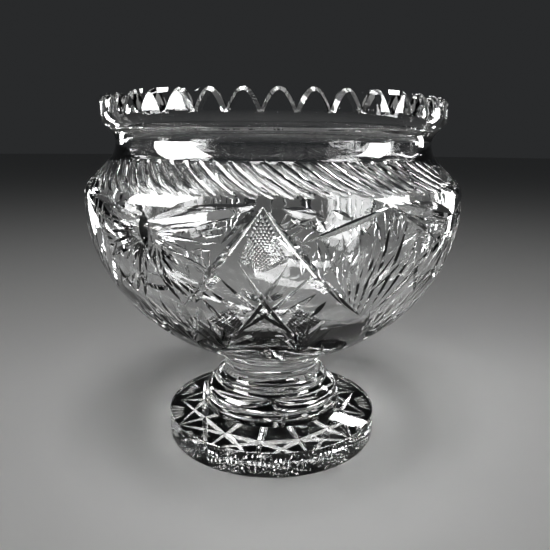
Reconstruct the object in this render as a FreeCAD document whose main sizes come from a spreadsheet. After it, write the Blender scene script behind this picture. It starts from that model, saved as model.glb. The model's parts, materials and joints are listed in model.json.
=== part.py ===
import FreeCAD, Part
import math
import os
import Sketcher

# A footed punch bowl of cut lead crystal.  Five pieces of glass are joined on one upright axis:
# foot, foot_collar, stem, merese (the thin wafer under the bowl) and bowl.
# Lengths in mm, angles in degrees.  Origin: centre of the foot's underside.  +Z is up.
# Azimuth 0 is the front (-Y), and azimuths grow towards the right (+X).

SIZES = {
    # bowl
    "body_radius": (150, "outside radius at the girdle, the widest level"),
    "shoulder_inset": (25, "how far the waist lies inside the girdle"),
    "lip_flare": (10, "how far the lip stands out from the waist"),
    "belly_depth": (135.6, "girdle down to the lowest point that the belly curve aims at"),
    "belly_flattening": (12, "belly depth less the radius of its side arc"),
    "girdle_band": (4, "upright band at the widest level"),
    "shoulder_slope": (45, "slope of the shoulder from the vertical"),
    "shoulder_round": (16, "radius from the girdle into the shoulder"),
    "waist_cove": (20, "radius of the hollow below the waist"),
    "lip_rise": (19, "waist up to the notches of the rim"),
    "wall": (8, "thickness of the side from the rim to the girdle"),
    "base_wall": (17, "glass between the inside and the point that the belly curve aims at"),
    # rim
    "tooth_height": (12.6, "notch to tip of the rim's teeth"),
    "tooth_count": (40, "teeth round the rim"),
    "tooth_crown": (6, "radius of a tooth's rounded top"),
    "crown_half": (50, "half of the angle that a tooth's rounded top takes"),
    "tooth_flank": (34, "radius of a tooth's flank"),
    "rim_turn": (1.5, "azimuth of the first tooth"),
    # shoulder flutes
    "flute_count": (80, "slanting flutes round the shoulder"),
    "flute_sweep": (13, "azimuth from a flute's upper end to its lower end"),
    "flute_depth": (1.8, "depth of a flute"),
    "flute_angle": (110, "angle of the wheel that cuts the flutes"),
    # long mitre cuts that part the body into panels
    "panel_groups": (4, "groups of a diamond, a fan and a buttoned panel round the body"),
    "panel_turn": (-2, "azimuth of the first diamond panel"),
    "panel_rise": (9, "girdle up to the tip of a diamond panel"),
    "mitre_depth": (3, "depth of a long mitre cut"),
    "mitre_angle": (100, "angle of the wheel that cuts the long mitres"),
    # merese
    "merese_radius": (47, "radius of the wafer"),
    "merese_height": (5, "thickness of the wafer"),
    "seat_radius": (43.5, "radius of the flat joints above and below the wafer"),
    # stem
    "stem_height": (18, "length of the stem"),
    "stem_hollow": (2, "depth of the hollow in the stem's side"),
    # collar
    "bead_radius": (49, "radius of the bead at the collar's top"),
    "bead_height": (5, "thickness of the bead"),
    "cove_height": (5, "height of the cove between bead and ring"),
    "ring_radius": (58, "radius of the collar's ring"),
    "ring_height": (11, "height of the ring's side"),
    "step_radius": (60.5, "radius of the collar's lowest step"),
    "step_height": (6, "height of the lowest step"),
    # foot
    "foot_radius": (90.8, "radius of the foot"),
    "foot_height": (26.5, "height of the foot where the collar stands on it"),
    "foot_edge": (21.5, "height of the foot's edge"),
    "foot_arris": (1.2, "rounding of the foot's edges"),
    "star_points": (12, "points of the star under the foot"),
    "star_turn": (22, "azimuth of a point of the star"),
    "star_margin": (8.8, "how far inside the foot's edge the star ends"),
    "star_inset": (55, "nearest distance of the star's side cuts from the axis"),
    "star_heart": (6, "distance of the rays' inner ends from the axis"),
    "star_depth": (5, "depth of the star's cuts"),
    "star_angle": (100, "angle of the wheel that cuts the star"),
    "edge_cuts": (32, "upright mitre cuts round the foot's edge"),
    "edge_depth": (1.6, "depth of an edge cut"),
    "edge_angle": (110, "angle of the wheel that cuts the edge"),
}
WHEEL_CLEARANCE = 6     # how far the V of a cutting wheel goes on above the glass
OVERRUN = 4             # angle that a cut goes on past its ends, in the air
TOP_SLOPE = 6           # slope at which two notches meet on top of a tooth
RIM_SPARE = 1           # glass above the teeth that the notches take away
FRONT = -90             # direction of azimuth 0 in the XY plane

doc = FreeCAD.newDocument("PunchBowl")
sheet = doc.addObject("Spreadsheet::Sheet", "Sizes")
for row, (alias, (number, note)) in enumerate(SIZES.items(), start=1):
    sheet.set(f"A{row}", alias)
    sheet.set(f"B{row}", str(number))
    sheet.set(f"C{row}", note)
    sheet.setAlias(f"B{row}", alias)
doc.recompute()


def sheet_names(text):
    """An expression with each <size> written as a reference to the sheet."""
    for alias in SIZES:
        text = text.replace(f"<{alias}>", f"Sizes.{alias}")
    return text


def size(expression):
    """The number that an expression on the sheet gives."""
    return float(sheet.evalExpression(sheet_names(expression)))


# Levels from the table up, each an expression on the sheet.
RING_BASE = "(<foot_height> + <step_height>)"
COVE_BASE = f"({RING_BASE} + <ring_height>)"
BEAD_BASE = f"({COVE_BASE} + <cove_height>)"
STEM_BASE = f"({BEAD_BASE} + <bead_height>)"
STEM_TOP = f"({STEM_BASE} + <stem_height>)"
BOWL_SEAT = f"({STEM_TOP} + <merese_height>)"


def belly(radius, depth):
    """A belly curve from the girdle down to the axis: a side arc, then a base arc centred on the axis."""
    side = f"({depth} - <belly_flattening>)"
    centre = f"({radius} - {side})"
    base = f"(({centre}^2 + {depth}^2 - {side}^2) / (2 * <belly_flattening>))"
    lean = f"({side} / ({base} - {side}))"
    return {
        "radius": radius,
        "side": side,
        "base": base,
        "join_radius": f"({centre} * (1 + {lean}))",
        "join_drop": f"(({base} - {depth}) * {lean})",
    }


OUTER = belly("<body_radius>", "<belly_depth>")
INNER = belly("(<body_radius> - <wall>)", "(<belly_depth> - <base_wall>)")
SEAT_RISE = f"({OUTER['base']} - sqrt({OUTER['base']}^2 - <seat_radius>^2))"
AIM = f"({BOWL_SEAT} - {SEAT_RISE})"
GIRDLE = f"({AIM} + <belly_depth>)"
SHOULDER_BASE = f"({GIRDLE} + <girdle_band>)"

WAIST_RADIUS = "(<body_radius> - <shoulder_inset>)"
RIM_RADIUS = f"({WAIST_RADIUS} + <lip_flare>)"
ROUNDS = "(<shoulder_round> + <waist_cove>)"
SHOULDER_RUN = f"(<shoulder_inset> - {ROUNDS} * (1 - cos(<shoulder_slope>)))"
WAIST = f"({SHOULDER_BASE} + {ROUNDS} * sin(<shoulder_slope>) + {SHOULDER_RUN} / tan(<shoulder_slope>))"
LIP_BEND = "((<lip_flare>^2 + <lip_rise>^2) / (4 * <lip_flare>))"
LIP_COS = f"(1 - <lip_flare> / (2 * {LIP_BEND}))"
LIP_SIN = f"(<lip_rise> / (2 * {LIP_BEND}))"
NOTCH = f"({WAIST} + <lip_rise>)"
RIM = f"({NOTCH} + <tooth_height>)"


class Outline:
    """A closed sketch outline, drawn edge after edge, with every corner and radius bound to the sheet."""

    def __init__(self, body, name, plane, corner, place=None):
        self.sketch = body.newObject("Sketcher::SketchObject", name)
        self.sketch.AttachmentSupport = [(origin_item(body, plane), "")]
        self.sketch.MapMode = "FlatFace"
        if place is not None:
            self.sketch.AttachmentOffset = place
        self.first = corner
        self.corner = corner
        self.edges = []

    def bind(self, constraint, expression):
        index = self.sketch.addConstraint(constraint)
        self.sketch.setExpression(f"Constraints[{index}]", sheet_names(expression))

    def line(self, across, up):
        """A line to the next corner."""
        segment = Part.LineSegment(drawn(self.corner), drawn((across, up)))
        self.join(self.sketch.addGeometry(segment), 1, 2, (across, up))

    def arc(self, across, up, radius, left):
        """An arc to the next corner, with its centre on the left or the right of the way there."""
        start, end = drawn(self.corner), drawn((across, up))
        bend = size(radius)
        chord = end - start
        height = max(bend**2 - (chord.Length / 2) ** 2, 0) ** 0.5
        side = FreeCAD.Vector(-chord.y, chord.x, 0).normalize()
        centre = (start + end) / 2 + side * (height if left else -height)
        circle = Part.Circle(centre, FreeCAD.Vector(0, 0, 1), bend)
        first, last = (start, end) if left else (end, start)
        curve = Part.ArcOfCircle(circle, circle.parameter(first), circle.parameter(last))
        index = self.sketch.addGeometry(curve)
        self.bind(Sketcher.Constraint("Radius", index, bend), radius)
        self.join(index, 1 if left else 2, 2 if left else 1, (across, up))

    def join(self, index, start, end, corner):
        if self.edges:
            last, _, last_end = self.edges[-1]
            self.sketch.addConstraint(Sketcher.Constraint("Coincident", last, last_end, index, start))
        self.edges.append((index, start, end))
        self.pin(index, end, corner)
        self.corner = corner

    def pin(self, index, end, corner):
        place = drawn(corner)
        self.bind(Sketcher.Constraint("DistanceX", -1, 1, index, end, place.x), corner[0])
        self.bind(Sketcher.Constraint("DistanceY", -1, 1, index, end, place.y), corner[1])

    def close(self):
        """Close the outline, with a last line if its ends are apart; gives the finished sketch."""
        if self.corner != self.first:
            self.line(*self.first)
        last, _, last_end = self.edges[-1]
        first, first_start, _ = self.edges[0]
        self.sketch.addConstraint(Sketcher.Constraint("Coincident", last, last_end, first, first_start))
        doc.recompute()
        return self.sketch


def drawn(corner):
    return FreeCAD.Vector(size(corner[0]), size(corner[1]), 0)


def origin_item(body, role):
    return next(item for item in body.Origin.OriginFeatures if item.Role == role)


def new_body(label):
    body = doc.addObject("PartDesign::Body", label)
    body.Label = label
    return body


def revolve(body, sketch):
    """Turn a section about the upright axis."""
    feature = body.newObject("PartDesign::Revolution", f"{body.Label}_turned")
    feature.Profile = sketch
    feature.ReferenceAxis = (sketch, ["V_Axis"])
    feature.Angle = 360
    doc.recompute()
    return feature


def repeat(body, name, cuts, count):
    """Repeat cuts evenly round the upright axis."""
    pattern = body.newObject("PartDesign::PolarPattern", name)
    pattern.Originals = cuts
    pattern.Axis = (origin_item(body, "Z_Axis"), [""])
    pattern.Angle = 360
    pattern.setExpression("Occurrences", sheet_names(count))
    body.Tip = pattern
    doc.recompute()
    return pattern


def spot(azimuth, radius, level):
    """A point given by azimuth, radius and level."""
    turn = math.radians(FRONT + azimuth)
    return FreeCAD.Vector(radius * math.cos(turn), radius * math.sin(turn), level)


def mitre(body, name, ends, middle, normal, depth, angle):
    """A V-edged cut that runs out at both ends and is deepest halfway.

    ends and middle lie on the glass, and normal points out of it.  The V follows the arc through both
    ends that passes the given depth under the middle, as a cutting wheel leaves it.
    """
    start, end = ends
    along = (end - start).normalize()
    out = (normal - along * normal.dot(along)).normalize()
    half = (end - start).Length / 2
    centre = (start + end) / 2
    rise = (middle - centre).dot(out) - size(depth)
    bend = (half**2 + rise**2) / (2 * abs(rise))
    place = FreeCAD.Placement(centre + out * rise, FreeCAD.Rotation(out.cross(along), out, along, "ZXY"))
    reach = f"({depth} + {WHEEL_CLEARANCE})"
    spread = f"({reach} * tan({angle} / 2))"
    edge = Outline(body, f"{name}_edge", "XY_Plane", ("0", "0"), place)
    edge.line(spread, reach)
    edge.line(f"-{spread}", reach)
    sketch = edge.close()
    axle_up = -bend if rise > 0 else bend
    axle = Part.LineSegment(FreeCAD.Vector(-1, axle_up, 0), FreeCAD.Vector(1, axle_up, 0))
    sketch.addConstraint(Sketcher.Constraint("Block", sketch.addGeometry(axle, True)))
    doc.recompute()
    cut = body.newObject("PartDesign::Groove", name)
    cut.Profile = sketch
    cut.ReferenceAxis = (sketch, ["Axis0"])
    cut.Midplane = True
    cut.Angle = 2 * (math.degrees(math.asin(half / bend)) + OVERRUN)
    doc.recompute()
    return cut


def bowl_radius(level):
    """Outside radius of the bowl at a level, from its seat up to the waist."""
    girdle, shoulder, waist = size(GIRDLE), size(SHOULDER_BASE), size(WAIST)
    body, side, base = size("<body_radius>"), size(OUTER["side"]), size(OUTER["base"])
    slope = math.radians(size("<shoulder_slope>"))
    if level >= girdle:
        bend = size("<shoulder_round>")
        rise = level - shoulder
        if rise <= 0:
            return body
        if rise < bend * math.sin(slope):
            return body - bend + (bend**2 - rise**2) ** 0.5
        return body - bend * (1 - math.cos(slope)) - (rise - bend * math.sin(slope)) * math.tan(slope)
    if girdle - level <= size(OUTER["join_drop"]):
        return body - side + (side**2 - (girdle - level) ** 2) ** 0.5
    centre = size(AIM) + base
    return (base**2 - (centre - level) ** 2) ** 0.5


def bowl_cut(body, name, start, end, depth, angle):
    """A mitre cut on the outside of the bowl between two places, each an azimuth and a level."""
    azimuth, level = (start[0] + end[0]) / 2, (start[1] + end[1]) / 2
    step = 0.5
    fall = bowl_radius(level - step) - bowl_radius(level + step)
    normal = (spot(azimuth, 2 * step, 0) + FreeCAD.Vector(0, 0, fall)).normalize()
    ends = [spot(turn, bowl_radius(height), height) for turn, height in (start, end)]
    return mitre(body, name, ends, spot(azimuth, bowl_radius(level), level), normal, depth, angle)


def side_path(wall, curve, low_corner):
    """Corners of the bowl's side from its base to its rim, each with the arc that leads up to it.

    wall is how far the path lies inside the outside of the glass.  An arc is its radius, and whether its
    centre is on the left of the way up, which is the inside of the bowl.
    """
    waist = f"({WAIST_RADIUS} - {wall})"
    rim = f"({RIM_RADIUS} - {wall})"
    cove, crown = f"(<waist_cove> + {wall})", f"(<shoulder_round> - {wall})"
    lip = f"({LIP_BEND} + {wall})"
    slope_sin, slope_cos = "sin(<shoulder_slope>)", "cos(<shoulder_slope>)"
    return [
        (low_corner, None),
        ((curve["join_radius"], f"({GIRDLE} - {curve['join_drop']})"), (curve["base"], True)),
        ((curve["radius"], GIRDLE), (curve["side"], True)),
        ((curve["radius"], SHOULDER_BASE), None),
        ((f"({curve['radius']} - {crown} * (1 - {slope_cos}))", f"({SHOULDER_BASE} + {crown} * {slope_sin})"),
         (crown, True)),
        ((f"({waist} + {cove} * (1 - {slope_cos}))", f"({WAIST} - {cove} * {slope_sin})"), None),
        ((waist, WAIST), (cove, False)),
        ((f"({waist} + {lip} * (1 - {LIP_COS}))", f"({WAIST} + {lip} * {LIP_SIN})"), (lip, False)),
        ((rim, NOTCH), (f"({LIP_BEND} - {wall})", True)),
        ((rim, f"({RIM} + {RIM_SPARE})"), None),
    ]


def draw_up(section, path):
    for corner, arc in path[1:]:
        if arc is None:
            section.line(*corner)
        else:
            section.arc(*corner, *arc)


def draw_down(section, path):
    for (corner, _), (_, arc) in zip(path[-2::-1], path[:0:-1]):
        if arc is None:
            section.line(*corner)
        else:
            radius, left = arc
            section.arc(*corner, radius, not left)


def make_bowl():
    bowl = new_body("bowl")
    seat = ("<seat_radius>", BOWL_SEAT)
    outside = side_path("0", OUTER, seat)
    inside = side_path("<wall>", INNER, ("0", f"({AIM} + <base_wall>)"))
    section = Outline(bowl, "bowl_section", "XZ_Plane", ("0", BOWL_SEAT))
    section.line(*seat)
    draw_up(section, outside)
    section.line(*inside[-1][0])
    draw_down(section, inside)
    revolve(bowl, section.close())
    cut_panels(bowl)
    cut_rim(bowl)
    cut_flutes(bowl)
    return bowl


def cut_rim(bowl):
    """The notches that leave a round-topped tooth each; neighbouring notches meet on the teeth's tops."""
    half = f"({RIM_RADIUS} * tan(180 / <tooth_count>))"
    centre_up = f"({RIM} - <tooth_crown> / cos({TOP_SLOPE}))"
    flank = (f"({half} - <tooth_crown> * sin(<crown_half>))", f"({centre_up} + <tooth_crown> * cos(<crown_half>))")
    crown = (f"({half} - <tooth_crown> * sin({TOP_SLOPE}))", f"({centre_up} + <tooth_crown> * cos({TOP_SLOPE}))")
    past = (f"({half} * 1.5)", f"({RIM} + {half} * 0.5 * tan({TOP_SLOPE}))")
    turn = FreeCAD.Rotation(FreeCAD.Vector(0, 1, 0), -(size("<rim_turn>") + 180 / size("<tooth_count>")))
    notch = Outline(bowl, "notch", "XZ_Plane", ("0", NOTCH), FreeCAD.Placement(FreeCAD.Vector(), turn))
    notch.arc(*flank, "<tooth_flank>", False)
    notch.arc(*crown, "<tooth_crown>", False)
    notch.line(*past)
    notch.line(past[0], f"({RIM} + {half})")
    notch.line(f"-{past[0]}", f"({RIM} + {half})")
    notch.line(f"-{past[0]}", past[1])
    notch.line(f"-{crown[0]}", crown[1])
    notch.arc(f"-{flank[0]}", flank[1], "<tooth_crown>", False)
    notch.arc("0", NOTCH, "<tooth_flank>", False)
    pocket = bowl.newObject("PartDesign::Pocket", "rim_notch")
    pocket.Profile = notch.close()
    pocket.setExpression("Length", sheet_names(f"{RIM_RADIUS} + <tooth_height>"))
    doc.recompute()
    repeat(bowl, "rim_notches", [pocket], "<tooth_count>")


def cut_flutes(bowl):
    """Slanting flutes round the shoulder."""
    top = size(f"{WAIST} - <waist_cove> * sin(<shoulder_slope>) * 0.8")
    low = size(f"{SHOULDER_BASE} + <shoulder_round> * 0.4")
    half = size("<flute_sweep>") / 2
    flute = bowl_cut(bowl, "flute", (-half, top), (half, low), "<flute_depth>", "<flute_angle>")
    repeat(bowl, "flutes", [flute], "<flute_count>")


def cut_panels(bowl):
    """Long mitre cuts round a diamond and a fan, the first panels of each group."""
    step = 360 / size("<panel_groups>") / 3
    turn, girdle = size("<panel_turn>"), size(GIRDLE)
    tip = girdle + size("<panel_rise>")
    routes = {
        "diamond_left": ((0, tip), (-0.45 * step, girdle - 32)),
        "diamond_right": ((0, tip), (0.62 * step, girdle - 52)),
        "fan_left": ((0.97 * step, tip - 3), (0.25 * step, girdle - 14)),
        "fan_right": ((0.97 * step, tip - 3), (1.6 * step, girdle - 18)),
        "lattice_left": ((-0.15 * step, girdle - 24), (0.45 * step, girdle - 88)),
        "lattice_right": ((0.42 * step, girdle - 34), (-0.45 * step, girdle - 84)),
    }
    cuts = []
    for name, (start, end) in routes.items():
        places = [(turn + azimuth, level) for azimuth, level in (start, end)]
        cuts.append(bowl_cut(bowl, name, *places, "<mitre_depth>", "<mitre_angle>"))
    repeat(bowl, "panels", cuts, "<panel_groups>")


def make_merese():
    merese = new_body("merese")
    edge = "(<merese_height> / 2)"
    section = Outline(merese, "merese_section", "XZ_Plane", ("0", STEM_TOP))
    section.line(f"(<merese_radius> - {edge})", STEM_TOP)
    section.arc("<merese_radius>", f"({STEM_TOP} + {edge})", edge, True)
    section.arc(f"(<merese_radius> - {edge})", BOWL_SEAT, edge, True)
    section.line("0", BOWL_SEAT)
    revolve(merese, section.close())
    return merese


def make_stem():
    stem = new_body("stem")
    half = "(<stem_height> / 2)"
    bend = f"(({half}^2 + <stem_hollow>^2) / (2 * <stem_hollow>))"
    section = Outline(stem, "stem_section", "XZ_Plane", ("0", STEM_BASE))
    section.line("<seat_radius>", STEM_BASE)
    section.arc("<seat_radius>", STEM_TOP, bend, False)
    section.line("0", STEM_TOP)
    revolve(stem, section.close())
    return stem


def make_collar():
    """A bead, a cove, a round-edged ring and a low step, turned as one collar."""
    collar = new_body("foot_collar")
    bead = "(<bead_height> / 2)"
    cove_run = f"(<ring_radius> - <cove_height> * 0.5 - <bead_radius> + {bead})"
    cove = f"(({cove_run}^2 + <cove_height>^2) / (2 * <cove_height>))"
    round_off = "(<ring_height> / 2)"
    section = Outline(collar, "collar_section", "XZ_Plane", ("0", "<foot_height>"))
    section.line("<step_radius>", "<foot_height>")
    section.line("<step_radius>", RING_BASE)
    section.line(f"(<ring_radius> - {round_off} * 0.2)", RING_BASE)
    section.arc(f"(<ring_radius> - {round_off} * 0.2)", COVE_BASE, f"({round_off} * 2.6)", True)
    section.arc(f"(<bead_radius> - {bead})", BEAD_BASE, cove, False)
    section.arc("<bead_radius>", f"({BEAD_BASE} + {bead})", bead, True)
    section.arc(f"(<bead_radius> - {bead})", STEM_BASE, bead, True)
    section.line("0", STEM_BASE)
    revolve(collar, section.close())
    return collar


def make_foot():
    foot = new_body("foot")
    section = Outline(foot, "foot_section", "XZ_Plane", ("0", "0"))
    edge, arris = "<foot_radius>", "<foot_arris>"
    section.line(f"({edge} - {arris})", "0")
    section.arc(edge, arris, arris, True)
    section.line(edge, f"(<foot_edge> - {arris})")
    section.arc(f"({edge} - {arris})", "<foot_edge>", arris, True)
    section.line("<step_radius>", "<foot_height>")
    section.line("0", "<foot_height>")
    revolve(foot, section.close())
    cut_star(foot)
    cut_foot_edge(foot)
    return foot


def cut_star(foot):
    """The star under the foot: rays out to its points, and straight side cuts that cross between them."""
    reach, inset, heart = size("<foot_radius> - <star_margin>"), size("<star_inset>"), size("<star_heart>")
    turn = size("<star_turn>")
    lean = math.degrees(math.acos(inset / reach))
    routes = {
        "star_ray": (spot(turn, heart, 0), spot(turn, reach, 0)),
        "star_side": (spot(turn - lean, reach, 0), spot(turn + lean, reach, 0)),
    }
    down = FreeCAD.Vector(0, 0, -1)
    for name, ends in routes.items():
        middle = (ends[0] + ends[1]) / 2
        cut = mitre(foot, name, ends, middle, down, "<star_depth>", "<star_angle>")
        repeat(foot, f"{name}s", [cut], "<star_points>")


def cut_foot_edge(foot):
    """Upright mitre cuts that run out before the foot's upper and lower edges."""
    edge = size("<foot_radius>")
    low, high = size("<foot_arris>") * 2, size("<foot_edge> - <foot_arris> * 2")
    ends = [FreeCAD.Vector(0, -edge, level) for level in (low, high)]
    middle = FreeCAD.Vector(0, -edge, (low + high) / 2)
    cut = mitre(foot, "edge_cut", ends, middle, FreeCAD.Vector(0, -1, 0), "<edge_depth>", "<edge_angle>")
    repeat(foot, "edge_cuts", [cut], "<edge_cuts>")


pieces = [make_foot(), make_collar(), make_stem(), make_merese(), make_bowl()]
doc.recompute()

for item in doc.Objects:
    if "Invalid" in item.State or "Error" in item.State:
        raise RuntimeError(f"{item.Label} failed: {item.State}")
for piece in pieces:
    if piece.Shape.isNull() or not piece.Shape.isValid() or len(piece.Shape.Solids) != 1:
        raise RuntimeError(f"{piece.Label} is not one valid solid")

os.makedirs("parts", exist_ok=True)
for piece in pieces:
    piece.Shape.exportStep(f"parts/{piece.Label}.step")
    box = piece.Shape.BoundBox
    print(f"{piece.Label}: {piece.Shape.Volume / 1000:.1f} cm3, Z {box.ZMin:.2f} to {box.ZMax:.2f}")
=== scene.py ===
import bpy
import json
from math import asin, atan2, cos, degrees, hypot, pi, radians, sin, sqrt, tan
from mathutils import Matrix, Vector

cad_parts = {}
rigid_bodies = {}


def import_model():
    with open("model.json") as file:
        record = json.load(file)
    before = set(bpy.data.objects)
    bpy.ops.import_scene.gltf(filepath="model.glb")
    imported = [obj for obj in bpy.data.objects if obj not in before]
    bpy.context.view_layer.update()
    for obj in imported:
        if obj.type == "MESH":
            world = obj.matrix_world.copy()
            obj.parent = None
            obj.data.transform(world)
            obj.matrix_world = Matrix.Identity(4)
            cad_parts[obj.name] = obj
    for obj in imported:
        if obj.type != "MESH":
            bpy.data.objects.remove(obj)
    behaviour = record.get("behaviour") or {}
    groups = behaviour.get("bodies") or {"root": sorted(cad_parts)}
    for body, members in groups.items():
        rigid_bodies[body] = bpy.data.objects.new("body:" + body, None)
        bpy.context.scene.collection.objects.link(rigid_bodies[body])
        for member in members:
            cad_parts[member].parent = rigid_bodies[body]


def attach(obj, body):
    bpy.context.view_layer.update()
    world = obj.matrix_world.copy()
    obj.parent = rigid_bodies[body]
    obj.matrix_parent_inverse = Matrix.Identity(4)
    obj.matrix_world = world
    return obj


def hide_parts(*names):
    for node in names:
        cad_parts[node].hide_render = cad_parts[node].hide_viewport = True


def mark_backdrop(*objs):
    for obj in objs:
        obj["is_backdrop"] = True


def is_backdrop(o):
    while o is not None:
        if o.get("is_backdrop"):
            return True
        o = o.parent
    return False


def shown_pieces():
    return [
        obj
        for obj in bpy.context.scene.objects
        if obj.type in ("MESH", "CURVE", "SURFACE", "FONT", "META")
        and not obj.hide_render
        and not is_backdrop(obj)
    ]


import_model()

bl_info = {
    "name": "Cut-glass punch bowl",
    "version": (1, 0, 0),
    "blender": (4, 5, 0),
    "location": "View3D > Sidebar > Punch bowl",
    "description": "Models a footed punch bowl of cut lead crystal and the studio that it stands in",
    "category": "Add Mesh",
}

# The bowl is cut the way the real one is: each piece is turned on its axis, then V-shaped and
# round-edged wheels take grooves out of it.  Levels, radii and depths are in millimetres,
# directions in degrees: azimuth 0 is the front (-Y) and azimuths grow to the right (+X).

MM = 0.001

# A wheel comes in from outside the glass: its section reaches this far (m) over the surface, and its
# path runs on past both ends by this turn (degrees) but by no more than this way (m).
SECTION_REACH = 0.006
PATH_OVERRUN_TURN = 4.0
PATH_OVERRUN = 0.012
FLATTEST_PATH = 400


# ---------------------------------------------------------------- sizes

class PunchBowlSizes(bpy.types.PropertyGroup):
    """Sizes of the glass, in millimetres"""

    body_radius: bpy.props.FloatProperty(
        name="Body radius", description="Outside radius at the girdle, the widest level (mm)", default=150.0)
    girdle: bpy.props.FloatProperty(
        name="Girdle", description="Level of the widest part (mm)", default=206.02)
    wall: bpy.props.FloatProperty(
        name="Wall", description="Thickness of the side from the rim to the girdle (mm)", default=8.0)
    rim: bpy.props.FloatProperty(
        name="Rim", description="Level of the tips of the teeth (mm)", default=281.53)
    teeth: bpy.props.IntProperty(
        name="Teeth", description="Teeth round the rim", default=40)
    flutes: bpy.props.IntProperty(
        name="Flutes", description="Slanting flutes round the shoulder", default=80)
    seat: bpy.props.FloatProperty(
        name="Seat", description="Radius of the flat joints above and below the stem (mm)", default=43.5)
    foot_radius: bpy.props.FloatProperty(
        name="Foot radius", description="Radius of the foot (mm)", default=90.8)
    star_points: bpy.props.IntProperty(
        name="Star points", description="Points of the star under the foot", default=12)
    facets: bpy.props.IntProperty(
        name="Turning steps", description="Steps of a full turn of the glass", default=288)


class PunchBowlGlass(bpy.types.PropertyGroup):
    """Looks of the lead crystal"""

    ior: bpy.props.FloatProperty(
        name="Bend of light", description="Refractive index of lead crystal", default=1.545)
    polish: bpy.props.FloatProperty(
        name="Polish", description="Roughness of the acid-polished surface", default=0.004)
    ripple: bpy.props.FloatProperty(
        name="Ripple", description="Strength of the slow waves that hand polishing leaves", default=0.045)


class PunchBowlStudio(bpy.types.PropertyGroup):
    """Camera and light"""

    camera_distance: bpy.props.FloatProperty(
        name="Camera distance", description="From the bowl's axis to the camera", default=0.4743,
        unit="LENGTH")
    camera_height: bpy.props.FloatProperty(
        name="Camera height", description="Above the floor", default=0.2494, unit="LENGTH")
    camera_aside: bpy.props.FloatProperty(
        name="Camera aside", description="Shift of the camera to the right", default=0.0021, unit="LENGTH")
    camera_pitch: bpy.props.FloatProperty(
        name="Camera pitch", description="Angle of the view below the level", default=radians(13.18),
        subtype="ANGLE")
    camera_roll: bpy.props.FloatProperty(
        name="Camera roll", description="Turn of the picture about its middle", default=radians(0.51),
        subtype="ANGLE")
    lens: bpy.props.FloatProperty(
        name="Lens", description="Focal length on a 36 mm wide frame", default=36.895)


# ---------------------------------------------------------------- modelling helpers

def at_rest():
    """Object mode with nothing selected."""
    if bpy.context.object and bpy.context.object.mode != "OBJECT":
        bpy.ops.object.mode_set(mode="OBJECT")
    bpy.ops.object.select_all(action="DESELECT")


def start_chain(name):
    """A new mesh of one point at the origin, left in edit mode."""
    at_rest()
    bpy.ops.mesh.primitive_plane_add(size=0.001, location=(0, 0, 0))
    made = bpy.context.object
    made.name = name
    made.data.name = name
    bpy.ops.object.mode_set(mode="EDIT")
    bpy.ops.mesh.merge(type="CENTER")
    return made


def draw_chain(points):
    """Edges drawn from the selected point at the origin through a list of points."""
    bpy.ops.transform.translate(value=points[0])
    for here, there in zip(points, points[1:]):
        bpy.ops.mesh.extrude_region_move(TRANSFORM_OT_translate={"value": Vector(there) - Vector(here)})


def turned(name, outline, steps):
    """A solid of revolution.  The outline is (radius, level) in mm and starts and ends on the axis."""
    made = start_chain(name)
    draw_chain([Vector((r * MM, 0, z * MM)) for r, z in outline])
    bpy.ops.mesh.select_all(action="SELECT")
    bpy.ops.mesh.spin(steps=steps, angle=2 * pi, center=(0, 0, 0), axis=(0, 0, 1))
    bpy.ops.mesh.select_all(action="SELECT")
    bpy.ops.mesh.remove_doubles(threshold=1e-6)
    bpy.ops.mesh.normals_make_consistent(inside=False)
    bpy.ops.object.mode_set(mode="OBJECT")
    return made


def lofted(name, loops):
    """A closed solid through loops of points (metres) that have the same number of points each."""
    made = start_chain(name)
    for number, loop in enumerate(loops):
        if number:
            bpy.ops.mesh.select_all(action="DESELECT")
            bpy.ops.mesh.primitive_plane_add(size=0.001, location=(0, 0, 0))
            bpy.ops.mesh.merge(type="CENTER")
        draw_chain(loop)
        bpy.ops.mesh.select_linked()
        bpy.ops.mesh.edge_face_add()
    bpy.ops.mesh.select_all(action="SELECT")
    bpy.ops.mesh.delete(type="ONLY_FACE")
    bpy.ops.mesh.select_all(action="SELECT")
    bpy.ops.mesh.bridge_edge_loops()
    bpy.ops.mesh.select_all(action="SELECT")
    bpy.ops.mesh.fill_holes(sides=0)
    bpy.ops.mesh.select_all(action="SELECT")
    bpy.ops.mesh.normals_make_consistent(inside=False)
    bpy.ops.object.mode_set(mode="OBJECT")
    return made


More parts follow.
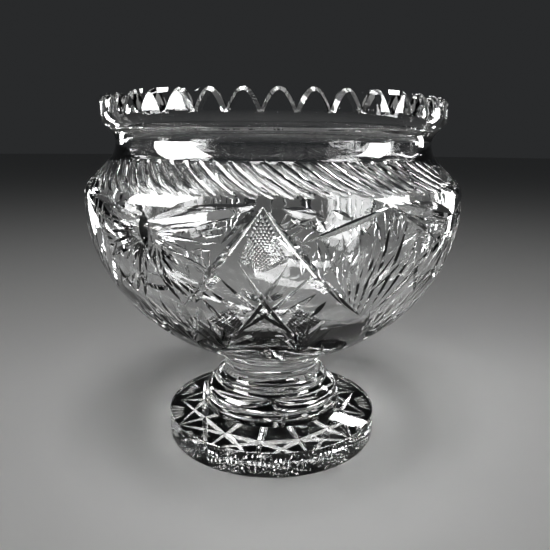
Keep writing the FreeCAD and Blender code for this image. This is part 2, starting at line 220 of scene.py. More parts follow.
def wheel_path(name, start, middle, end, normal, depth, angle, end_depth=0.0, steps=12):
    """What a V-edged wheel takes away between two spots, deepest under the middle (all in metres).

    The path is an arc through a depth under the middle spot.  With an end_depth the groove starts
    and ends at that depth instead of running out of the glass."""
    along = (end - start).normalized()
    out = (normal - along * normal.dot(along)).normalized()
    start = start - out * end_depth
    end = end - out * end_depth
    centre = (start + end) / 2
    half = (end - start).length / 2
    rise = (middle - centre).dot(out) - depth
    if abs(rise) < half / FLATTEST_PATH:
        rise = half / FLATTEST_PATH
    bend = (half * half + rise * rise) / (2 * abs(rise))
    axle = centre + out * (rise - bend if rise > 0 else rise + bend)
    side = out.cross(along)
    overrun = 0.0 if end_depth else min(radians(PATH_OVERRUN_TURN), PATH_OVERRUN / bend)
    sweep = 2 * (asin(min(half / bend, 1.0)) + overrun)
    reach = depth + SECTION_REACH
    lift = out * reach
    flare = side * (reach * tan(radians(angle / 2)))
    edge = centre + out * rise
    back = Matrix.Translation(axle) @ Matrix.Rotation(-sweep / 2, 4, side) @ Matrix.Translation(-axle)
    section = [back @ spot for spot in (edge, edge + lift + flare, edge + lift - flare)]
    made = start_chain(name)
    draw_chain(section)
    bpy.ops.mesh.select_all(action="SELECT")
    bpy.ops.mesh.edge_face_add()
    bpy.ops.mesh.spin(steps=steps, angle=-sweep, center=axle, axis=side)
    bpy.ops.mesh.select_all(action="SELECT")
    bpy.ops.mesh.normals_make_consistent(inside=False)
    bpy.ops.object.mode_set(mode="OBJECT")
    return made


class Cutters:
    """Wheel paths that are taken away from one piece together."""

    def __init__(self, name):
        self.group = bpy.data.collections.new(name)
        bpy.context.scene.collection.children.link(self.group)

    def add(self, tool, count=1, turn=0.0):
        """Puts a tool in, and copies of it evenly round the axis, each with its own mesh."""
        for holder in list(tool.users_collection):
            holder.objects.unlink(tool)
        self.group.objects.link(tool)
        tool.rotation_euler.z = radians(turn)
        for step in range(1, count):
            other = tool.copy()
            other.data = tool.data.copy()
            other.rotation_euler.z = radians(turn + 360.0 * step / count)
            self.group.objects.link(other)

    def cut(self, piece):
        """Takes the tools away from the piece, then drops them."""
        at_rest()
        piece.select_set(True)
        bpy.context.view_layer.objects.active = piece
        change = piece.modifiers.new("Wheel cuts", "BOOLEAN")
        change.operation = "DIFFERENCE"
        change.operand_type = "COLLECTION"
        change.collection = self.group
        change.solver = "MANIFOLD"
        bpy.ops.object.modifier_apply(modifier=change.name)
        for tool in list(self.group.objects):
            mesh = tool.data
            bpy.data.objects.remove(tool)
            bpy.data.meshes.remove(mesh)
        bpy.data.collections.remove(self.group)


def arc(centre, radius, first, last, steps):
    """Points of an arc (mm) after its first point, angles in degrees from the outward direction."""
    turns = [radians(first + (last - first) * k / steps) for k in range(1, steps + 1)]
    return [(centre[0] + radius * cos(t), centre[1] + radius * sin(t)) for t in turns]


def whereabouts(azimuth, radius, level):
    """A place in metres from an azimuth, a radius and a level."""
    turn = radians(azimuth - 90)
    return Vector((radius * MM * cos(turn), radius * MM * sin(turn), level * MM))


class Wall:
    """The outside of a turned piece, to place cuts on."""

    def __init__(self, outline):
        self.outline = outline

    def radius(self, level):
        """Outside radius at a level."""
        for (r0, z0), (r1, z1) in zip(self.outline, self.outline[1:]):
            if z0 <= level <= z1 and z1 > z0:
                return r0 + (r1 - r0) * (level - z0) / (z1 - z0)
        raise ValueError(f"no wall at level {level}")

    def spot(self, azimuth, level):
        """The place on the wall at an azimuth and a level."""
        return whereabouts(azimuth, self.radius(level), level)

    def out(self, azimuth, level):
        """The direction straight out of the wall."""
        step = 0.4
        slope = (self.radius(level + step) - self.radius(level - step)) / (2 * step)
        turn = radians(azimuth - 90)
        return Vector((cos(turn), sin(turn), -slope)).normalized()

    def groove(self, name, start, end, depth, angle, end_depth=0.0, steps=12):
        """A wheel path between two (azimuth, level) spots of the wall."""
        middle = ((start[0] + end[0]) / 2, (start[1] + end[1]) / 2)
        first, last = self.spot(*start), self.spot(*end)
        out = self.out(*middle)
        chord = (first + last) / 2
        level = chord.z / MM
        azimuth = degrees(atan2(chord.y, chord.x)) + 90
        over = self.spot(azimuth, level)
        return wheel_path(name, first, over, last, out, depth * MM, angle, end_depth * MM, steps)


def finish_piece(piece, glass, seal, joints, smooth=16.0):
    """Glass on the piece, the see-through joint material on its joint faces, and smooth shading.

    joints holds (level, radius) of the flat faces by which the piece is fused to its neighbours."""
    piece.data.materials.clear()
    piece.data.materials.append(glass)
    piece.data.materials.append(seal)
    for face in piece.data.polygons:
        at = face.center
        flat = any(abs(at.z - z * MM) < 1e-5 and hypot(at.x, at.y) < r * MM for z, r in joints)
        face.material_index = 1 if flat else 0
    at_rest()
    piece.select_set(True)
    bpy.context.view_layer.objects.active = piece
    bpy.ops.object.mode_set(mode="EDIT")
    bpy.ops.mesh.select_all(action="SELECT")
    bpy.ops.mesh.normals_make_consistent(inside=False)
    bpy.ops.object.mode_set(mode="OBJECT")
    bpy.ops.object.shade_smooth_by_angle(angle=radians(smooth))
    at_rest()


# ---------------------------------------------------------------- materials

class Field:
    """A number in a node tree.  Sums and products of fields add Math nodes to it."""

    def __init__(self, tree, socket):
        self.tree = tree
        self.socket = socket

    def _math(self, operation, first, second=None):
        node = self.tree.nodes.new("ShaderNodeMath")
        node.operation = operation
        for place, value in enumerate((first, second)):
            if isinstance(value, Field):
                self.tree.links.new(value.socket, node.inputs[place])
            elif value is not None:
                node.inputs[place].default_value = value
        return Field(self.tree, node.outputs[0])

    def __add__(self, other):
        return self._math("ADD", self, other)

    def __radd__(self, other):
        return self._math("ADD", other, self)

    def __sub__(self, other):
        return self._math("SUBTRACT", self, other)

    def __rsub__(self, other):
        return self._math("SUBTRACT", other, self)

    def __mul__(self, other):
        return self._math("MULTIPLY", self, other)

    def __rmul__(self, other):
        return self._math("MULTIPLY", other, self)

    def below(self, other):
        """1 where the field is less than the other, and 0 elsewhere."""
        return self._math("LESS_THAN", self, other)

    def most(self, other):
        """The larger of the field and the other."""
        return self._math("MAXIMUM", self, other)


class Recipe:
    """One material and its nodes."""

    def __init__(self, name):
        self.material = bpy.data.materials.new(name)
        self.material.use_nodes = True
        self.tree = self.material.node_tree
        self.tree.nodes.clear()
        self.output = self.tree.nodes.new("ShaderNodeOutputMaterial")
        self.place = self.node("ShaderNodeTexCoord").outputs["Object"]

    def node(self, kind, inputs=None, **settings):
        """A node with its settings, and its inputs linked or set by name."""
        made = self.tree.nodes.new(kind)
        for key, value in settings.items():
            setattr(made, key, value)
        for key, value in (inputs or {}).items():
            if isinstance(value, Field):
                self.tree.links.new(value.socket, made.inputs[key])
            elif isinstance(value, bpy.types.NodeSocket):
                self.tree.links.new(value, made.inputs[key])
            else:
                made.inputs[key].default_value = value
        return made

    def noise(self, scale, detail=2.0, roughness=0.5, stretch=None):
        """Noise over the piece, features per metre."""
        where = self.place
        if stretch:
            scaled = self.node("ShaderNodeVectorMath", {0: self.place, 1: stretch}, operation="MULTIPLY")
            where = scaled.outputs[0]
        made = self.node("ShaderNodeTexNoise", {
            "Vector": where, "Scale": scale, "Detail": detail, "Roughness": roughness})
        return Field(self.tree, made.outputs["Fac"])

    def level(self):
        """Height over the floor."""
        parts = self.node("ShaderNodeSeparateXYZ", {0: self.place})
        return Field(self.tree, parts.outputs["Z"])

    def surface(self, shader):
        """The finished material, with this shader on its surface."""
        self.tree.links.new(shader.outputs[0], self.output.inputs["Surface"])
        return self.material


# The noise over which a smear shows, and the height in metres up to which the foot is worn.
SMEAR_START = 0.52
WEAR_LEVEL = 0.0004


def crystal(name, looks, shift, worn=False):
    """Polished lead crystal: faint ripples, a trace of smears, and wear where a foot stands.

    The shift changes the grain a little from piece to piece."""
    recipe = Recipe(name)
    slow = recipe.noise(38.0 + shift, 1.0)
    fine = recipe.noise(170.0 + 3 * shift, 2.0, 0.55)
    smear = recipe.noise(60.0 + shift, 3.0, 0.6, (1.0, 1.0, 0.35))
    height = slow * 0.7 + fine * 0.3
    bump = recipe.node("ShaderNodeBump", {"Strength": looks.ripple, "Distance": 0.002, "Height": height})
    rough = looks.polish + (smear - SMEAR_START).most(0.0) * 0.06
    if worn:
        scratch = recipe.noise(900.0, 2.0, 0.6)
        touch = recipe.level().below(WEAR_LEVEL)
        rough = rough + touch * (0.05 + scratch * 0.2)
    tint = recipe.node("ShaderNodeMix", {
        "Factor": smear, "A": (0.985, 0.99, 0.988, 1.0), "B": (0.995, 0.997, 0.999, 1.0)}, data_type="RGBA")
    mixed = next(s for s in tint.outputs if s.type == "RGBA")
    shader = recipe.node("ShaderNodeBsdfPrincipled", {
        "Base Color": mixed, "Roughness": rough, "IOR": looks.ior,
        "Transmission Weight": 1.0, "Normal": bump.outputs[0]})
    return recipe.surface(shader)


def fused_joint(name):
    """The inside of a hot joint, where the glass runs on from piece to piece and nothing is seen."""
    recipe = Recipe(name)
    shader = recipe.node("ShaderNodeBsdfPrincipled", {
        "Base Color": (1.0, 1.0, 1.0, 1.0), "Roughness": 0.5, "Alpha": 0.0})
    return recipe.surface(shader)


def plain(name, colour, roughness):
    """A matt, nearly even surface for the studio."""
    recipe = Recipe(name)
    grain = recipe.noise(25.0, 3.0)
    tone = recipe.node("ShaderNodeMix", {
        "Factor": grain, "A": (*[c * 0.985 for c in colour], 1.0), "B": (*colour, 1.0)}, data_type="RGBA")
    mixed = next(s for s in tone.outputs if s.type == "RGBA")
    shader = recipe.node("ShaderNodeBsdfPrincipled", {"Base Color": mixed, "Roughness": roughness})
    return recipe.surface(shader)


# ---------------------------------------------------------------- shapes

# Levels of the fused joints: bowl to merese, merese to stem, stem to collar, collar to foot.
JOINT_BOWL = 76.5
JOINT_STEM = 71.5
JOINT_COLLAR = 53.5
JOINT_FOOT = 26.5
STEP_RADIUS = 60.5

# How far the waist and the lip stand in from the girdle's radius, and how far they and the rim are
# over its level.
WAIST_INSET = 25
LIP_INSET = 15
WAIST_RISE = 43.91
LIP_RISE = 62.91
RIM_RISE = 75.51

# The cut pattern comes this many times round the body, and these are the azimuths of its panels.
REPEATS = 4
DIAMOND_AT = -2
FAN_AT = 27
BUTTON_AT = -32


def bowl_outside(sizes):
    """Outside of the bowl from its seat to the tips of the teeth."""
    r, z = sizes.body_radius, sizes.girdle
    base_bend, base_rise, side_bend = 158.64, 23.02, 123.6
    base_centre = (0.0, z + base_rise)
    side_centre = (r - side_bend, z)
    lean = degrees(atan2(base_centre[1] - side_centre[1], side_centre[0]))
    first = degrees(atan2(JOINT_BOWL - base_centre[1], sizes.seat))
    line = [(sizes.seat, JOINT_BOWL)]
    line += arc(base_centre, base_bend, first, -lean, 14)
    line += arc(side_centre, side_bend, -lean, 0, 20)
    return line + shoulder(r, z)


def shoulder(r, z):
    """Girdle, shoulder, waist and lip, going up from the girdle."""
    band, girdle_bend, cove_bend, ogee_bend, ogee_rise = 4, 16, 20, 11.525, 19
    line = [(r, z + band / 2), (r, z + band)]
    line += arc((r - girdle_bend, z + band), girdle_bend, 0, 45, 8)
    cove_centre = (r - WAIST_INSET + cove_bend, z + WAIST_RISE)
    cove_foot = (cove_centre[0] - cove_bend * cos(radians(45)), cove_centre[1] - cove_bend * sin(radians(45)))
    line += [((line[-1][0] + cove_foot[0]) / 2, (line[-1][1] + cove_foot[1]) / 2)]
    line += arc(cove_centre, cove_bend, 225, 180, 8)
    turn = degrees(asin(ogee_rise / (2 * ogee_bend)))
    line += arc((r - WAIST_INSET + ogee_bend, z + WAIST_RISE), ogee_bend, 180, 180 - turn, 8)
    line += arc((r - LIP_INSET - ogee_bend, z + LIP_RISE), ogee_bend, -turn, 0, 8)
    line += [(r - LIP_INSET, z + 69), (r - LIP_INSET, z + RIM_RISE)]
    return line


def bowl_inside(sizes):
    """Inside of the bowl from the rim down to the axis."""
    r, z = sizes.body_radius - sizes.wall, sizes.girdle
    side_bend = 106.6
    side_centre = (r - side_bend, z)
    depth = 118.6
    base_bend = (side_centre[0] ** 2 + depth ** 2 - side_bend ** 2) / (2 * (depth - side_bend))
    base_centre = (0.0, z - depth + base_bend)
    lean = degrees(atan2(base_centre[1] - side_centre[1], side_centre[0]))
    line = [(0.0, z - depth)]
    line += arc(base_centre, base_bend, -90, -lean, 14)
    line += arc(side_centre, side_bend, -lean, 0, 16)
    line += shoulder(r, z)
    return line[::-1]


def tooth_notch(sizes):
    """What is taken away between two teeth, with the bevels along both edges of the wall."""
    tip, pitch = sizes.rim, 360.0 / sizes.teeth
    outer = sizes.body_radius - LIP_INSET
    inner = outer - sizes.wall
    crown_bend, flank_bend, meeting, deep = 6.0, 34.0, 50, 15.0
    swing = flank_bend - crown_bend
    clear = 0.6
    half = outer * radians(pitch) / 2
    crown_centre = (0.0, tip - crown_bend)
    flank_centre = (-swing * sin(radians(meeting)), tip - crown_bend - swing * cos(radians(meeting)))
    loops = []
    for radius, bevel in ((inner - 1.5, 2.6), (inner + 1.9, 0.0), (outer - 2.9, 0.0), (outer + 0.35, 2.7)):
        crown, flank = crown_bend - bevel, flank_bend - bevel
        lowest = flank_centre[0] + sqrt(flank ** 2 - (tip - deep - flank_centre[1]) ** 2)
        last = asin((min(half - 0.05, lowest) - flank_centre[0]) / flank)
        side = [(-clear, crown_centre[1] + crown + 0.12)]
        for lean in (0, 12, 25, 38, meeting):
            side.append((crown * sin(radians(lean)), crown_centre[1] + crown * cos(radians(lean))))
        for k in range(1, 8):
            lean = radians(meeting) + (last - radians(meeting)) * k / 7
            side.append((flank_centre[0] + flank * sin(lean), flank_centre[1] + flank * cos(lean)))
        edge = [(x - half, level) for x, level in side]
        other = [(half - x, level) for x, level in reversed(side)]
        top = [(half + clear, tip + 8), (-half - clear, tip + 8)]
        loops.append([whereabouts(degrees(x / outer), radius, level) for x, level in edge + other + top])
    return lofted("Tooth notch", loops)


def flute(sizes, wall):
    """The scoop of a round-edged wheel, from upper left to lower right across the shoulder."""
    top, bottom, sweep = sizes.girdle + 32.6, sizes.girdle + 12.2, 13.5
    bend, mouth, reach = 5.6, 6.6, 6.0
    stations = [0.0, 0.05, 0.11, 0.2, 0.32, 0.44, 0.56, 0.68, 0.8, 0.9, 1.0]
    depths = [-0.25, 0.45, 0.85, 1.1, 1.2, 1.2, 1.15, 1.0, 0.75, 0.4, -0.1]
    spots = []
    for t in stations:
        fall = 1 - (1 - t) ** 1.25
        spots.append((sweep * t, top - (top - bottom) * fall))
    loops = []
    for number, depth in enumerate(depths):
        before = wall.spot(*spots[max(number - 1, 0)])
        after = wall.spot(*spots[min(number + 1, len(spots) - 1)])
        here = wall.spot(*spots[number])
        out = wall.out(*spots[number])
        along = (after - before).normalized()
        out = (out - along * out.dot(along)).normalized()
        side = out.cross(along)
        loop = []
        for lean in (-50, -38, -26, -13, 0, 13, 26, 38, 50):
            sideways = bend * sin(radians(lean))
            outward = bend - bend * cos(radians(lean)) - depth
            loop.append(here + (side * sideways + out * outward) * MM)
        loop.append(here + (side * mouth + out * reach) * MM)
        loop.append(here + (side * -mouth + out * reach) * MM)
        loops.append(loop)
    return lofted("Shoulder flute", loops)


def across(first, second, share):
    """The (azimuth, level) spot at a share of the way between two."""
    return (first[0] + (second[0] - first[0]) * share, first[1] + (second[1] - first[1]) * share)


def hatch(cutters, wall, corners, counts, depth, turn, copies):
    """Fine grooves over a four-cornered cell, one family along each pair of its sides."""
    a, b, c, d = [(x + turn, z) for x, z in corners]
    for number in range(1, counts[0]):
        share = number / counts[0]
        tool = wall.groove("Hatch", across(a, b, share), across(d, c, share), depth, 90, depth * 0.8, 3)
        cutters.add(tool, copies)
    for number in range(1, counts[1]):
        share = number / counts[1]
        tool = wall.groove("Hatch", across(a, d, share), across(b, c, share), depth, 90, depth * 0.8, 3)
        cutters.add(tool, copies)


# The cuts of the panels.  Each is a start and an end, which are (azimuth from the middle of the panel,
# level) spots on the wall, then a depth and the angle of the wheel's edge where these differ.
DIAMOND_MITRES = (
    ((0, 213.5), (23, 146), 2.1),
    ((-6, 181), (12.5, 118), 1.6),
    ((-12, 173), (13, 121.5), 1.5),
)
DIAMOND_LENSES = (
    ((13.5, 159), (4.5, 143)),
    ((16.5, 153), (12.5, 140)),
    ((0.5, 131.5), (14, 113)),
)
DIAMOND_SPARKS = (
    ((4, 212.8), (14, 206.8), 1.9, 130),
    ((11, 212), (14.5, 199), 1.3, 110),
    ((6, 201), (11, 206.5), 1.2, 110),
    ((15.5, 211.5), (20.5, 205.5), 1.4, 120),
    ((6, 207.5), (10, 200.5), 1.1, 110),
)
FAN_EDGES = (
    ((-20, 192), (2, 212.5), 1.8),
    ((2, 212.5), (20, 188), 1.8),
    ((20, 188), (4, 141), 1.6),
    ((-16, 173), (0, 138), 1.6),
)
FAN_RIBS = (
    ((-15.5, 194.5), (-7, 154)),
    ((-11.0, 199), (-5.4, 149)),
    ((-6.5, 203), (-3.8, 145)),
    ((-2.3, 206.5), (-2.2, 141.5)),
    ((2, 210), (-0.4, 139)),
    ((7.5, 204), (1.8, 141)),
    ((13, 197), (4.2, 146)),
)
FAN_THIN_RIBS = (
    ((-4.5, 187), (-4.6, 160)),
    ((0.2, 186), (-2.6, 160)),
    ((5.2, 184), (-1.4, 159)),
    ((9.5, 181), (0, 157)),
)
BUTTON_SWAGS = (
    ((1, 202), (28.5, 214.5), 2.6, 132),
    ((1, 197.5), (22, 206.5), 1.0, 110),
    ((1, 190), (17, 174), 1.8, 110),
    ((17.5, 173), (11, 149), 1.8, 110),
    ((3, 178), (5.5, 156), 1.6, 110),
    ((-3, 156.5), (5, 158.5), 1.6, 110),
)

# The level that a button's rays spread from, and the millimetres of wall in a degree of azimuth there.
BUTTON_LEVEL = 195
DEGREE_OF_ARC = 2.62

# Leaves over the seat: azimuth of the middle, level of the top, level of the foot, half width.
LEAVES = ((-17, 137, 104, 8), (13, 137, 104, 8), (45, 140, 104, 9), (-31, 151, 106, 12))


def cut_diamond(cutters, wall, turn, copies):
    """A diamond of long mitres with cross-hatched cells."""
    for start, end, depth in DIAMOND_MITRES:
        for way in (1, -1):
            first, last = (turn + way * start[0], start[1]), (turn + way * end[0], end[1])
            tool = wall.groove("Long mitre", first, last, depth, 100)
            cutters.add(tool, copies)
    for start, end in DIAMOND_LENSES:
        for way in (1, -1):
            first, last = (turn + way * start[0], start[1]), (turn + way * end[0], end[1])
            tool = wall.groove("Lens", first, last, 1.5, 110, steps=8)
            cutters.add(tool, copies)
    hatch(cutters, wall, [(0, 211.5), (-6, 181), (0, 174), (6, 181)], (13, 13), 1.1, turn, copies)
    for start, end, depth, angle in DIAMOND_SPARKS:
        first, last = (turn + start[0], start[1]), (turn + end[0], end[1])
        tool = wall.groove("Spark", first, last, depth, angle, steps=6)
        cutters.add(tool, copies)
    for way in (1, -1):
        cell = [(way * 9, 148), (way * 17, 137), (way * 10, 122), (way * 6, 135)]
        hatch(cutters, wall, cell, (12, 8), 0.75, turn, copies)
        strip = [(way * 10, 168), (way * 11.7, 171.5), (way * 17.6, 161.5), (way * 15.5, 157.5)]
        hatch(cutters, wall, strip, (6, 1), 0.6, turn, copies)
        sliver = [(way * 6, 166), (way * 1.2, 157.5), (way * 1.0, 151), (way * 4.5, 156)]
        hatch(cutters, wall, sliver, (1, 5), 0.55, turn, copies)


def cut_fan(cutters, wall, turn, copies):
    """A fan: a kite of mitres with ribs that spread from its base."""
    for start, end, depth in FAN_EDGES:
        tool = wall.groove("Fan edge", (turn + start[0], start[1]), (turn + end[0], end[1]), depth, 105)
        cutters.add(tool, copies)
    for top, foot in FAN_RIBS:
        tool = wall.groove("Rib", (turn + top[0], top[1]), (turn + foot[0], foot[1]), 1.2, 105)
        cutters.add(tool, copies)
    for top, foot in FAN_THIN_RIBS:
        first, last = (turn + top[0], top[1]), (turn + foot[0], foot[1])
        tool = wall.groove("Thin rib", first, last, 0.7, 100, steps=8)
        cutters.add(tool, copies)


def cut_button(cutters, wall, turn, copies):
    """A lens-shaped button in a field of fine rays under two broad swags."""
    tool = wall.groove("Button", (turn, 208), (turn, 184), 3.0, 118, steps=10)
    cutters.add(tool, copies)
    for way in (1, -1):
        for start, end, depth, angle in BUTTON_SWAGS:
            first, last = (turn + way * start[0], start[1]), (turn + way * end[0], end[1])
            tool = wall.groove("Swag", first, last, depth, angle)
            cutters.add(tool, copies)
        for number in range(17):
            lean = radians(14 - 6.2 * number)
            reach = 42 - 0.9 * number if number % 2 else 25 - 0.3 * number
            near = (turn + way * (0.6 + 7 * cos(lean) / DEGREE_OF_ARC), BUTTON_LEVEL + 8 * sin(lean))
            far = (turn + way * reach * cos(lean) / DEGREE_OF_ARC, BUTTON_LEVEL + reach * sin(lean))
            tool = wall.groove("Ray", near, far, 1.1, 100, steps=6)
            cutters.add(tool, copies)
        for number in range(7):
            near = (turn + way * (15 - 0.4 * number), 201 - 3.6 * number)
            far = (turn + way * (24.5 - 1.7 * number), 207.5 - 5.2 * number)
            tool = wall.groove("Ray", near, far, 0.9, 100, steps=5)
            cutters.add(tool, copies)
        for number in range(4):
            near = (turn + way * (2.0 + 2.6 * number), 168 - 1.5 * number)
            far = (turn + way * (7.5 + 3.0 * number), 147 + 2.5 * number)
            tool = wall.groove("Ray", near, far, 1.3, 105, steps=6)
            cutters.add(tool, copies)


def cut_lower_body(cutters, wall, turn, copies):
    """Leaves of long cuts that run down to the plain glass over the seat."""
    for centre, high, low, reach in LEAVES:
        for lean in (-1.0, -0.5, 0.0, 0.5, 1.0):
            start = (turn + centre + lean * 1.5, low + abs(lean) * 4)
            end = (turn + centre + lean * reach, high - abs(lean) * 7)
            tool = wall.groove("Leaf", start, end, 1.5, 105, steps=8)
            cutters.add(tool, copies)


# ---------------------------------------------------------------- operators

def looks_and_sizes(context):
    """The sizes and the looks that are set in this scene."""
    return context.scene.punch_bowl_sizes, context.scene.punch_bowl_glass


def joint_material():
    """The material of the fused joints, made once for all pieces."""
    return bpy.data.materials.get("fused_joint") or fused_joint("fused_joint")


class PUNCHBOWL_OT_bowl(bpy.types.Operator):
    """Turns the bowl and cuts its rim, shoulder and body"""

    bl_idname = "punch_bowl.bowl"
    bl_label = "Add the bowl"

    def execute(self, context):
        sizes, looks = looks_and_sizes(context)
        outside = bowl_outside(sizes)
        wall = Wall(outside)
        outline = [(0.0, JOINT_BOWL)] + outside + bowl_inside(sizes)
        piece = turned("cut_bowl", outline, sizes.facets)
        cutters = Cutters("Bowl cuts")
        cut_diamond(cutters, wall, DIAMOND_AT, REPEATS)
        cut_fan(cutters, wall, FAN_AT, REPEATS)
        cut_button(cutters, wall, BUTTON_AT, REPEATS)
        cut_lower_body(cutters, wall, DIAMOND_AT, REPEATS)
        cutters.add(flute(sizes, wall), sizes.flutes, 1.0)
        cutters.add(tooth_notch(sizes), sizes.teeth, 1.5 + 180.0 / sizes.teeth)
        cutters.cut(piece)
        glass = crystal("cut_crystal", looks, 0.0)
        finish_piece(piece, glass, joint_material(), [(JOINT_BOWL, sizes.seat)])
        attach(piece, "root")
        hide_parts("bowl")
        return {"FINISHED"}


class PUNCHBOWL_OT_merese(bpy.types.Operator):
    """Turns the thin wafer between stem and bowl"""

    bl_idname = "punch_bowl.merese"
    bl_label = "Add the merese"

    def execute(self, context):
        sizes, looks = looks_and_sizes(context)
        middle = (JOINT_STEM + JOINT_BOWL) / 2
        line = [(0.0, JOINT_STEM), (sizes.seat, JOINT_STEM)]
        line += arc((sizes.seat + 1.0, middle), 2.5, -90, 90, 10)
        line += [(sizes.seat, JOINT_BOWL), (0.0, JOINT_BOWL)]
        piece = turned("stem_merese", line, 160)
        joints = [(JOINT_STEM, sizes.seat), (JOINT_BOWL, sizes.seat)]
        finish_piece(piece, crystal("merese_crystal", looks, 3.0), joint_material(), joints, 40)
        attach(piece, "root")
        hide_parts("merese")
        return {"FINISHED"}


class PUNCHBOWL_OT_stem(bpy.types.Operator):
    """Turns the short stem"""

    bl_idname = "punch_bowl.stem"
    bl_label = "Add the stem"

    def execute(self, context):
        sizes, looks = looks_and_sizes(context)
        tall = JOINT_STEM - JOINT_COLLAR
        hollow = 2.0
        bend = (hollow ** 2 + (tall / 2) ** 2) / (2 * hollow)
        half = degrees(asin(tall / 2 / bend))
        centre = (sizes.seat - hollow + bend, (JOINT_STEM + JOINT_COLLAR) / 2)
        line = [(0.0, JOINT_COLLAR), (sizes.seat, JOINT_COLLAR)]
        line += arc(centre, bend, 180 + half, 180 - half, 14)
        line += [(0.0, JOINT_STEM)]
        piece = turned("short_stem", line, 160)
        joints = [(JOINT_COLLAR, sizes.seat), (JOINT_STEM, sizes.seat)]
        finish_piece(piece, crystal("stem_crystal", looks, 5.0), joint_material(), joints, 40)
        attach(piece, "root")
        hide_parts("stem")
        return {"FINISHED"}


class PUNCHBOWL_OT_collar(bpy.types.Operator):
    """Turns the stepped collar on top of the foot"""

    bl_idname = "punch_bowl.foot_collar"
    bl_label = "Add the foot collar"

    def execute(self, context):
        sizes, looks = looks_and_sizes(context)
        line = [(0.0, JOINT_FOOT), (STEP_RADIUS, JOINT_FOOT), (STEP_RADIUS, 30.5)]
        line += arc((STEP_RADIUS - 2.0, 30.5), 2.0, 0, 90, 5)
        line += [(57.2, 32.8)]
        line += arc((50.6, 38.0), 7.4, -38, 52, 9)
        line += [(50.5, 44.6), (47.6, 46.2), (46.6, 48.0)]
        line += arc((46.4, 50.9), 2.6, -75, 75, 8)
        line += [(45.0, 53.3), (sizes.seat, JOINT_COLLAR), (0.0, JOINT_COLLAR)]
        piece = turned("stepped_collar", line, 200)
        joints = [(JOINT_FOOT, STEP_RADIUS), (JOINT_COLLAR, sizes.seat)]
        finish_piece(piece, crystal("collar_crystal", looks, 7.0), joint_material(), joints, 24)
        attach(piece, "root")
        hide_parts("foot_collar")
        return {"FINISHED"}


# Where the first point of the star is, in degrees, and how many deep mitres the foot's edge has.
STAR_AT = 22
EDGE_REPEATS = 32

# The upright mitres of a repeat: azimuth from the deep one, depth, level of the foot, level of the head.
EDGE_MITRES = ((0, 2.4, -4, 25), (3.2, 0.9, 0, 21), (5.6, 0.9, 0, 21), (8.05, 0.9, 0, 21))


class PUNCHBOWL_OT_foot(bpy.types.Operator):
    """Turns the foot and cuts the star under it and the mitres of its edge"""

    bl_idname = "punch_bowl.foot"
    bl_label = "Add the foot"

    def execute(self, context):
        sizes, looks = looks_and_sizes(context)
        r, arris = sizes.foot_radius, 1.2
        line = [(0.0, 0.0), (r / 3, 0.0), (r * 2 / 3, 0.0), (r - arris, 0.0)]
        line += arc((r - arris, arris), arris, -90, 0, 4)
        line += [(r, 7.0), (r, 13.5)]
        line += arc((r - arris, 21.5 - arris), arris, 0, 80, 4)
        line += [(80.0, 23.2), (70.0, 24.9), (STEP_RADIUS, JOINT_FOOT), (0.0, JOINT_FOOT)]
        piece = turned("star_cut_foot", line, 240)
        cutters = Cutters("Foot cuts")
        down = Vector((0, 0, -1))
        points = sizes.star_points
        reach = r - 8.8
        tip = whereabouts(0, reach, 0)
        other = whereabouts(360.0 * 3 / points, reach, 0)
        tool = wheel_path("Star side", tip, (tip + other) / 2, other, down, 2.4 * MM, 100, steps=12)
        cutters.add(tool, points, STAR_AT)
        heart = whereabouts(0, 3, 0)
        tool = wheel_path("Star ray", tip, (tip + heart) / 2, heart, down, 2.6 * MM, 100, steps=12)
        cutters.add(tool, points, STAR_AT)
        for lean in (-8, -4, 0, 4, 8):
            far = whereabouts(180.0 / points + lean, r - 3.5, 0)
            near = whereabouts(180.0 / points + lean * 0.5, 76, 0)
            tool = wheel_path("Fine ray", far, (far + near) / 2, near, down, 1.2 * MM, 100, steps=5)
            cutters.add(tool, points, STAR_AT)
        for turn, depth, low, high in EDGE_MITRES:
            foot = whereabouts(turn, r, low)
            head = whereabouts(turn, r, high)
            out = whereabouts(turn, 1, 0).normalized()
            tool = wheel_path("Edge mitre", foot, (foot + head) / 2, head, out, depth * MM, 105, steps=8)
            cutters.add(tool, EDGE_REPEATS, STAR_AT)
        cutters.cut(piece)
        glass = crystal("foot_crystal", looks, 9.0, worn=True)
        finish_piece(piece, glass, joint_material(), [(JOINT_FOOT, STEP_RADIUS)])
        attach(piece, "root")
        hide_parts("foot")
        return {"FINISHED"}


FLOOR_RADIUS = 12.0
FLOOR_COLOUR = (0.62, 0.62, 0.61)
ROOM_COLOUR = (0.022, 0.023, 0.024, 1)
SENSOR_WIDTH = 36.0


def soft_light(name, where, aim, width, height, power):
    """A rectangular studio light that faces a point."""
    light = bpy.data.lights.new(name, "AREA")
    light.shape = "RECTANGLE"
    light.size, light.size_y = width, height
    light.energy = power
    lamp = bpy.data.objects.new(name, light)
    bpy.context.scene.collection.objects.link(lamp)
    lamp.location = where
    lamp.rotation_euler = (Vector(aim) - Vector(where)).to_track_quat("-Z", "Y").to_euler()
    return lamp


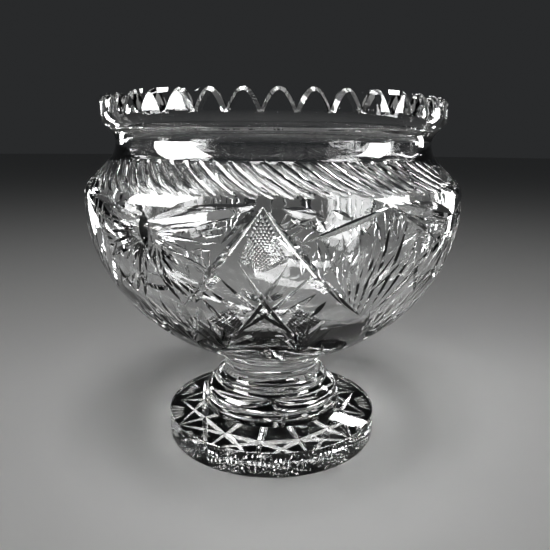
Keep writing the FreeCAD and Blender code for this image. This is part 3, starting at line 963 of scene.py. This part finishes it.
class PUNCHBOWL_OT_studio(bpy.types.Operator):
    """Sets up the floor, the lights, the room and the camera"""

    bl_idname = "punch_bowl.studio"
    bl_label = "Set up the studio"

    def execute(self, context):
        studio = context.scene.punch_bowl_studio
        at_rest()
        bpy.ops.mesh.primitive_circle_add(
            vertices=96, radius=FLOOR_RADIUS, fill_type="NGON", location=(0, 0, 0))
        floor = bpy.context.object
        floor.name = "Floor"
        floor.data.materials.append(plain("floor_pale", FLOOR_COLOUR, 0.6))
        floor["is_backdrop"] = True
        lamps = [
            soft_light("Overhead softbox", (0.0, -0.35, 1.5), (0, -0.1, 0), 0.5, 0.5, 10.0),
            soft_light("Left softbox", (-1.15, -0.45, 0.75), (0, 0, 0.18), 0.8, 1.1, 62),
            soft_light("Right softbox", (1.15, -0.35, 0.6), (0, 0, 0.17), 0.4, 0.8, 22),
            soft_light("Back strip", (0.35, 1.3, 0.95), (0, 0, 0.2), 0.9, 0.16, 7),
            soft_light("Top strip", (-0.15, 0.1, 1.2), (0, 0, 0.2), 0.14, 0.8, 7),
            soft_light("Low left card", (-0.7, 0.5, 0.12), (0, 0, 0.14), 0.12, 0.35, 1.6),
            soft_light("Low right card", (0.75, 0.4, 0.14), (0, 0, 0.14), 0.12, 0.35, 1.6),
        ]
        # Only the overhead softbox lights the floor; the others give the glass its bright edges.
        glass_only = bpy.data.collections.new("Lit glass")
        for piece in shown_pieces():
            glass_only.objects.link(piece)
        for lamp in lamps:
            lamp.visible_camera = False
        for lamp in lamps[1:]:
            lamp.light_linking.receiver_collection = glass_only
        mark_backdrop(*lamps)
        world = bpy.data.worlds.new("Studio room")
        context.scene.world = world
        world.use_nodes = True
        background = world.node_tree.nodes["Background"]
        background.inputs["Color"].default_value = ROOM_COLOUR
        background.inputs["Strength"].default_value = 1.0
        eye = bpy.data.cameras.new("Camera")
        eye.lens = studio.lens
        eye.sensor_width = SENSOR_WIDTH
        eye.clip_start = 0.01
        camera = bpy.data.objects.new("Camera", eye)
        context.scene.collection.objects.link(camera)
        camera.location = (studio.camera_aside, -studio.camera_distance, studio.camera_height)
        tilt = Matrix.Rotation(pi / 2 - studio.camera_pitch, 4, "X")
        look = tilt @ Matrix.Rotation(studio.camera_roll, 4, "Z")
        camera.rotation_euler = look.to_euler()
        camera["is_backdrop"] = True
        context.scene.camera = camera
        context.scene.cycles.max_bounces = 32
        context.scene.cycles.transmission_bounces = 28
        context.scene.cycles.transparent_max_bounces = 32
        context.scene.view_settings.view_transform = "Standard"
        return {"FINISHED"}


class PUNCHBOWL_PT_panel(bpy.types.Panel):
    """Punch bowl"""

    bl_idname = "PUNCHBOWL_PT_panel"
    bl_label = "Punch bowl"
    bl_space_type = "VIEW_3D"
    bl_region_type = "UI"
    bl_category = "Punch bowl"

    def draw(self, context):
        scene = context.scene
        for group in (scene.punch_bowl_sizes, scene.punch_bowl_glass, scene.punch_bowl_studio):
            box = self.layout.box()
            for key in type(group).__annotations__:
                box.prop(group, key)
        for operator in OPERATORS:
            self.layout.operator(operator.bl_idname)


OPERATORS = (
    PUNCHBOWL_OT_bowl, PUNCHBOWL_OT_merese, PUNCHBOWL_OT_stem, PUNCHBOWL_OT_collar, PUNCHBOWL_OT_foot,
    PUNCHBOWL_OT_studio,
)
CLASSES = (PunchBowlSizes, PunchBowlGlass, PunchBowlStudio, *OPERATORS, PUNCHBOWL_PT_panel)


def register():
    """Adds the classes and the settings of the scene."""
    for kind in CLASSES:
        bpy.utils.register_class(kind)
    bpy.types.Scene.punch_bowl_sizes = bpy.props.PointerProperty(type=PunchBowlSizes)
    bpy.types.Scene.punch_bowl_glass = bpy.props.PointerProperty(type=PunchBowlGlass)
    bpy.types.Scene.punch_bowl_studio = bpy.props.PointerProperty(type=PunchBowlStudio)


def unregister():
    """Takes the settings of the scene and the classes away again."""
    for key in ("punch_bowl_sizes", "punch_bowl_glass", "punch_bowl_studio"):
        delattr(bpy.types.Scene, key)
    for kind in reversed(CLASSES):
        bpy.utils.unregister_class(kind)


def main():
    """Builds every piece and the studio."""
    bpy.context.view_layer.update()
    register()
    bpy.ops.punch_bowl.foot()
    bpy.ops.punch_bowl.foot_collar()
    bpy.ops.punch_bowl.stem()
    bpy.ops.punch_bowl.merese()
    bpy.ops.punch_bowl.bowl()
    bpy.ops.punch_bowl.studio()


if __name__ == "__main__":
    main()
